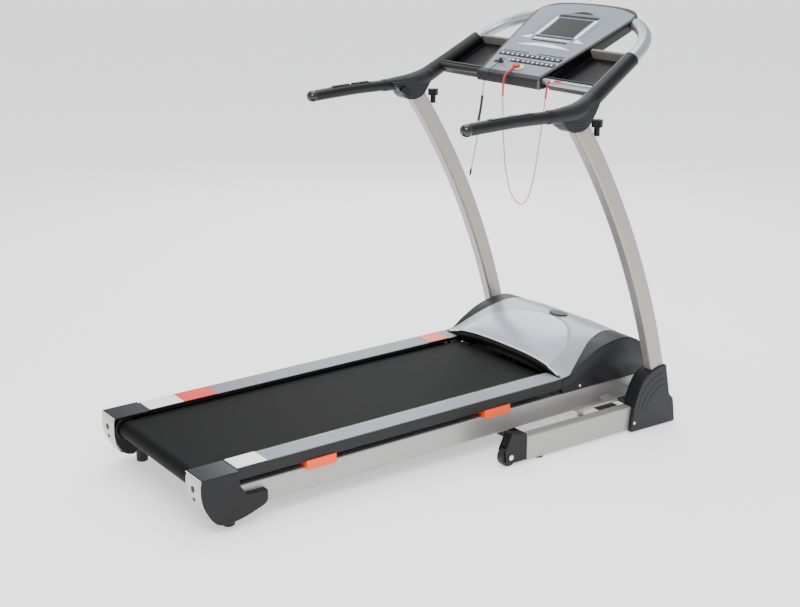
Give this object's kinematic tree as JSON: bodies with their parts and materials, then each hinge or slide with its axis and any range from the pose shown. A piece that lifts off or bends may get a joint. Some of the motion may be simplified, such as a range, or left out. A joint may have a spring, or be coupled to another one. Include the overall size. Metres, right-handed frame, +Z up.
{
  "type": "folding treadmill",
  "caption": "Folding home treadmill: cushioned running deck, motor hood, curved uprights, handlebars with keys and a console.",
  "frame": {"origin": "floor level under the middle of the machine's length and width", "axes": "+X to the machine's right for a person standing on the deck facing the console, +Y forward to the console, +Z up"},
  "size_m": [0.8648, 1.6829, 1.3213],
  "materials": {
    "black_paint": "satin",
    "silver_paint": "satin",
    "steel": "satin",
    "black_plastic": "matte",
    "grey_plastic": "matte",
    "silver_plastic": "satin",
    "zinc_plate": "satin",
    "soft_grip": "matte",
    "rubber": "matte",
    "orange_elastomer": "matte",
    "fibreboard": "satin",
    "cast_iron": "matte",
    "circuit": "matte",
    "lens": "gloss",
    "red_plastic": "gloss",
    "red_cord": "matte"
  },
  "bodies": {
    "base": {"base_arm_left": "silver_paint", "base_arm_right": "silver_paint", "base_cross_tubes": "black_paint", "arm_brackets": "steel", "wheel_forks": "black_plastic", "frame_bolts": "steel", "base_feet": "rubber", "boot_left": "grey_plastic", "boot_right": "grey_plastic", "upright_left": "silver_paint", "upright_right": "silver_paint", "handlebar_hoop": "silver_paint", "grip_left": "soft_grip", "grip_right": "soft_grip", "side_cover_left": "grey_plastic", "side_cover_right": "grey_plastic", "console_shell": "black_plastic", "console_panel": "silver_plastic", "display_lens": "lens", "pulse_lead": "black_plastic", "lead_plug": "black_plastic", "lead_end": "black_plastic"},
    "deck": {"side_rail_left": "silver_paint", "side_rail_right": "silver_paint", "deck_crossmembers": "black_paint", "deck_board": "fibreboard", "running_belt": "rubber", "roller_axles": "steel", "foot_rail_left": "black_plastic", "foot_rail_right": "black_plastic", "grip_strips": "silver_plastic", "rear_cap_left": "black_plastic", "rear_cap_right": "black_plastic", "end_plates": "zinc_plate", "adjuster_bolts": "steel", "deck_cushions": "orange_elastomer", "hood_cover": "silver_plastic", "hood_side_left": "grey_plastic", "hood_side_right": "grey_plastic", "motor_pan": "black_paint", "drive_motor": "black_plastic", "drive_belt": "rubber", "control_board": "circuit", "power_inlet": "black_plastic"},
    "strut_tube": {"gas_strut_tube": "black_plastic"},
    "strut_rod": {"gas_strut_rod": "steel"},
    "front_roller": {"front_roller": "steel"},
    "rear_roller": {"rear_roller": "steel"},
    "motor_rotor": {"motor_flywheel": "cast_iron"},
    "wheel_left": {"transport_wheel_left": "rubber"},
    "wheel_right": {"transport_wheel_right": "rubber"},
    "knob_left": {"star_knob_left": "black_plastic"},
    "knob_right": {"star_knob_right": "black_plastic"},
    "keys_console": {"console_keys": "silver_plastic"},
    "keys_left": {"grip_keys_left": "silver_plastic"},
    "keys_right": {"grip_keys_right": "silver_plastic"},
    "rocker_switch": {"power_switch": "black_plastic"},
    "pull_key": {"safety_key": "red_plastic", "safety_lanyard": "red_cord", "lanyard_clip": "red_plastic"}
  },
  "joints": [
    {"name": "deck_fold", "type": "hinge", "parent": "base", "child": "deck", "pos_m": [0, 0.7512, 0.1], "axis": [-1, 0, 0], "range_deg": [0, 68], "deforming": ["safety_lanyard", "pulse_lead"]},
    {"name": "strut_swing", "type": "hinge", "parent": "base", "child": "strut_tube", "pos_m": [0, 0.6812, 0.05], "axis": [-1, 0, 0], "range_deg": [0, 72.8]},
    {"name": "strut_extend", "type": "slide", "parent": "strut_tube", "child": "strut_rod", "axis": [0, -1, 0], "range_m": [0, 0.092]},
    {"name": "front_roller_spin", "type": "hinge", "parent": "deck", "child": "front_roller", "pos_m": [0, 0.43723, 0.14871], "axis": [1, 0, 0], "continuous": true},
    {"name": "rear_roller_spin", "type": "hinge", "parent": "deck", "child": "rear_roller", "pos_m": [0, -0.78665, 0.13162], "axis": [1, 0, 0], "continuous": true},
    {"name": "motor_spin", "type": "hinge", "parent": "deck", "child": "motor_rotor", "pos_m": [0, 0.59897, 0.16847], "axis": [1, 0, 0], "continuous": true},
    {"name": "wheel_left_spin", "type": "hinge", "parent": "base", "child": "wheel_left", "pos_m": [-0.393, 0.1562, 0.03], "axis": [1, 0, 0], "continuous": true},
    {"name": "wheel_right_spin", "type": "hinge", "parent": "base", "child": "wheel_right", "pos_m": [0.393, 0.1562, 0.03], "axis": [1, 0, 0], "continuous": true},
    {"name": "star_knob_left_turn", "type": "hinge", "parent": "base", "child": "knob_left", "pos_m": [-0.402, 0.4602, 1], "axis": [0, 0.848, 0.5299], "continuous": true},
    {"name": "star_knob_right_turn", "type": "hinge", "parent": "base", "child": "knob_right", "pos_m": [0.402, 0.4602, 1], "axis": [0, 0.848, 0.5299], "continuous": true},
    {"name": "console_keys_press", "type": "slide", "parent": "base", "child": "keys_console", "axis": [0, 0.5, -0.866], "range_m": [0, 0.0015], "stiffness_N_per_m": 400},
    {"name": "grip_keys_left_press", "type": "slide", "parent": "base", "child": "keys_left", "axis": [0, 0, -1], "range_m": [0, 0.001], "stiffness_N_per_m": 400},
    {"name": "grip_keys_right_press", "type": "slide", "parent": "base", "child": "keys_right", "axis": [0, 0, -1], "range_m": [0, 0.001], "stiffness_N_per_m": 400},
    {"name": "power_switch_rock", "type": "hinge", "parent": "deck", "child": "rocker_switch", "pos_m": [-0.136, 0.77953, 0.09338], "axis": [1, 0, 0], "range_deg": [-6, 6]},
    {"name": "safety_key_pull", "type": "slide", "parent": "base", "child": "pull_key", "axis": [0, -0.5, 0.866], "range_m": [0, 0.02]}
  ],
  "couplings": [
    {"joint": "strut_swing", "follows": "deck_fold", "ratio": 1.069},
    {"joint": "strut_extend", "follows": "deck_fold", "m_per_rad": 0.0771},
    {"joint": "rear_roller_spin", "follows": "front_roller_spin", "ratio": 1},
    {"joint": "motor_spin", "follows": "front_roller_spin", "ratio": 2.5}
  ]
}
